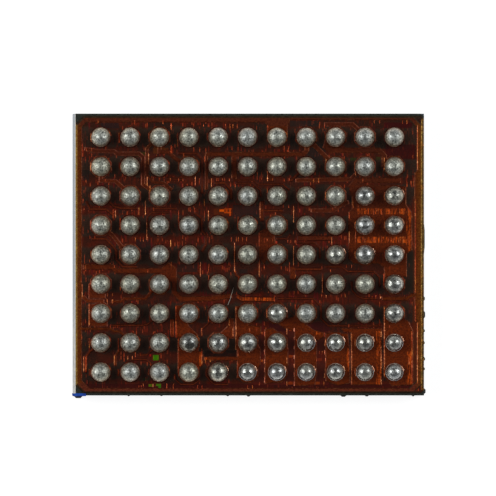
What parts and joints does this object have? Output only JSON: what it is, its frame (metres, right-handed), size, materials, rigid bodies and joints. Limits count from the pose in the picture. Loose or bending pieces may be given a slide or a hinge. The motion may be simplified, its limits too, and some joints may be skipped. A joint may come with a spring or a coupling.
{
  "type": "power management chip",
  "caption": "Bare wafer-level power management chip, ball side up: silicon die, amber film, copper wiring, 11 by 9 solder balls.",
  "frame": {"origin": "centre of the flat back face, the face opposite the solder balls", "axes": "+Z out of the ball side, +X along the long side (11 columns), +Y along the short side (9 rows)"},
  "size_m": [0.0048, 0.0039, 0.0006],
  "materials": {
    "amber_film": "clear amber, glossy",
    "back_laminate": "matt black",
    "blue_tape": "blue film",
    "circuit_glass": "dark glassy oxide over fine metal lines",
    "mark_oxide": "bright green thin oxide",
    "pad_copper": "plated copper, bright",
    "silicon": "sawn silicon, blue grey, half glossy",
    "solder": "grainy tin alloy",
    "wiring_copper": "plated copper, satin"
  },
  "bodies": {
    "root": {"back_coating": "back_laminate", "ball_row_a": "solder", "ball_row_b": "solder", "ball_row_c": "solder", "ball_row_d": "solder", "ball_row_e": "solder", "ball_row_f": "solder", "ball_row_g": "solder", "ball_row_h": "solder", "ball_row_j": "solder", "border_ring": "wiring_copper", "circuit_layer": "circuit_glass", "lone_landings": "wiring_copper", "lower_film": "amber_film", "pad_row_a": "pad_copper", "pad_row_b": "pad_copper", "pad_row_c": "pad_copper", "pad_row_d": "pad_copper", "pad_row_e": "pad_copper", "pad_row_f": "pad_copper", "pad_row_g": "pad_copper", "pad_row_h": "pad_copper", "pad_row_j": "pad_copper", "signal_traces": "wiring_copper", "silicon_die": "silicon", "supply_planes": "wiring_copper", "tape_residue": "blue_tape", "test_marks": "mark_oxide", "upper_film": "amber_film"}
  },
  "joints": []
}
